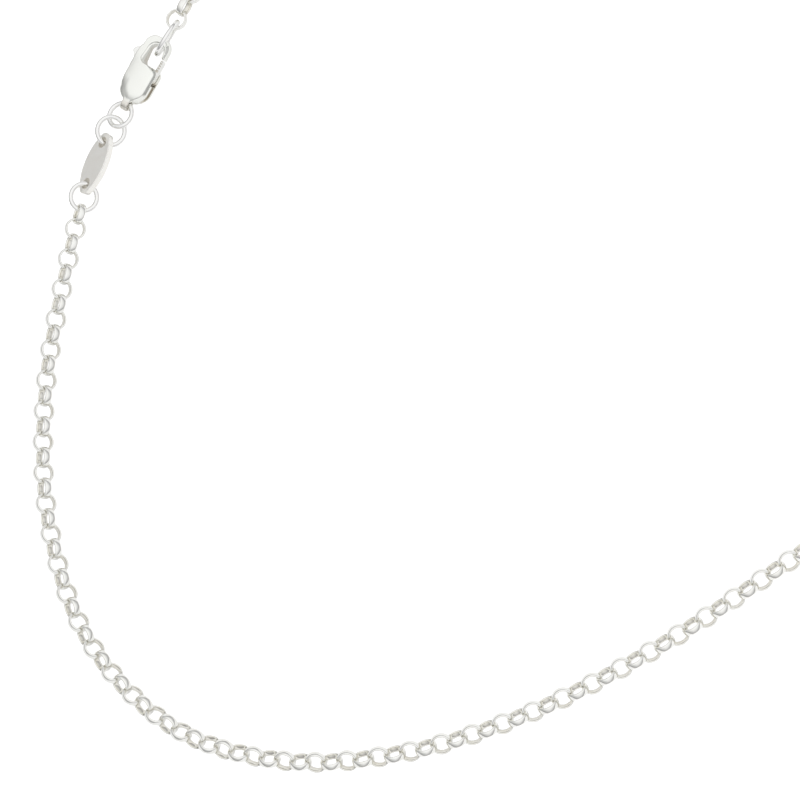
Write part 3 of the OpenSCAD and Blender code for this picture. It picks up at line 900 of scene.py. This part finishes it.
def make_floor():
    """A sheet of white paper, bright to the camera and shaded towards its far left side."""
    bm = bmesh.new()
    bmesh.ops.create_grid(bm, x_segments=8, y_segments=8, size=FLOOR_SIZE)
    mesh = bpy.data.meshes.new("floor")
    bm.to_mesh(mesh)
    bm.free()
    floor = bpy.data.objects.new("floor", mesh)
    bpy.context.scene.collection.objects.link(floor)
    paper = bpy.data.materials.new("white_paper")
    paper.use_nodes = True
    tree = paper.node_tree
    shader = tree.nodes["Principled BSDF"]
    place = tree.nodes.new("ShaderNodeTexCoord").outputs["Object"]
    split = tree.nodes.new("ShaderNodeSeparateXYZ")
    tree.links.new(place, split.inputs[0])
    grain = math_node(tree, "MULTIPLY", noise_node(tree, place, GRAIN_SCALE, detail=3.0),
                      GRAIN_DEPTH)
    # Painted shade: in reflections the paper grows darker towards its far left
    turn = spread(tree, far_left(tree, split), *FLOOR_TURN, *FLOOR_SHADE)
    shade = math_node(tree, "ADD", grain, turn)
    seen = tree.nodes.new("ShaderNodeLightPath").outputs["Is Camera Ray"]
    tone = tree.nodes.new("ShaderNodeCombineColor")
    level = spread(tree, seen, 0.0, 1.0, shade, FLOOR_TONE)
    for socket in tone.inputs[:3]:
        tree.links.new(level, socket)
    tree.links.new(tone.outputs["Color"], shader.inputs["Base Color"])
    shader.inputs["Roughness"].default_value = 0.9
    shader.inputs["Specular IOR Level"].default_value = 0.1
    shader.inputs["Emission Color"].default_value = (1, 1, 1, 1)
    tree.links.new(spread(tree, seen, 0.0, 1.0, *FLOOR_GLOW), shader.inputs["Emission Strength"])
    mesh.materials.append(paper)


def make_light():
    """A bright tent overhead that darkens towards the horizon, most of all to the far left."""
    world = bpy.data.worlds.new("light_tent")
    bpy.context.scene.world = world
    world.use_nodes = True
    tree = world.node_tree
    back = tree.nodes["Background"]
    split = tree.nodes.new("ShaderNodeSeparateXYZ")
    tree.links.new(tree.nodes.new("ShaderNodeTexCoord").outputs["Generated"], split.inputs[0])
    both = tree.nodes.new("ShaderNodeMix")
    both.data_type = "RGBA"
    for socket, levels in ((both.inputs[6], TENT_NEAR), (both.inputs[7], TENT_FAR)):
        shade = tree.nodes.new("ShaderNodeValToRGB")
        while len(shade.color_ramp.elements) < len(levels):
            shade.color_ramp.elements.new(0.5)
        for element, (place, level) in zip(shade.color_ramp.elements, levels):
            element.position = place
            element.color = (level, level, level, 1)
        tree.links.new(split.outputs["Z"], shade.inputs["Fac"])
        tree.links.new(shade.outputs["Color"], socket)
    tree.links.new(spread(tree, far_left(tree, split), *TENT_TURN), both.inputs["Factor"])
    tree.links.new(both.outputs[2], back.inputs["Color"])


def make_camera():
    """The camera that looks from the photo's angle."""
    data = bpy.data.cameras.new("camera")
    data.sensor_width = 36.0
    data.lens = CAMERA_LENS
    data.clip_start = 0.01
    data.clip_end = 20.0
    camera = bpy.data.objects.new("camera", data)
    bpy.context.scene.collection.objects.link(camera)
    right, up = Vector(CAMERA_RIGHT), Vector(CAMERA_UP)
    turn = Matrix((right, up, right.cross(up))).transposed()
    camera.matrix_world = Matrix.Translation(Vector(CAMERA_PLACE) * MM) @ turn.to_4x4()
    bpy.context.scene.camera = camera


make_floor()
make_light()
make_camera()
bpy.context.scene.view_settings.view_transform = "Standard"
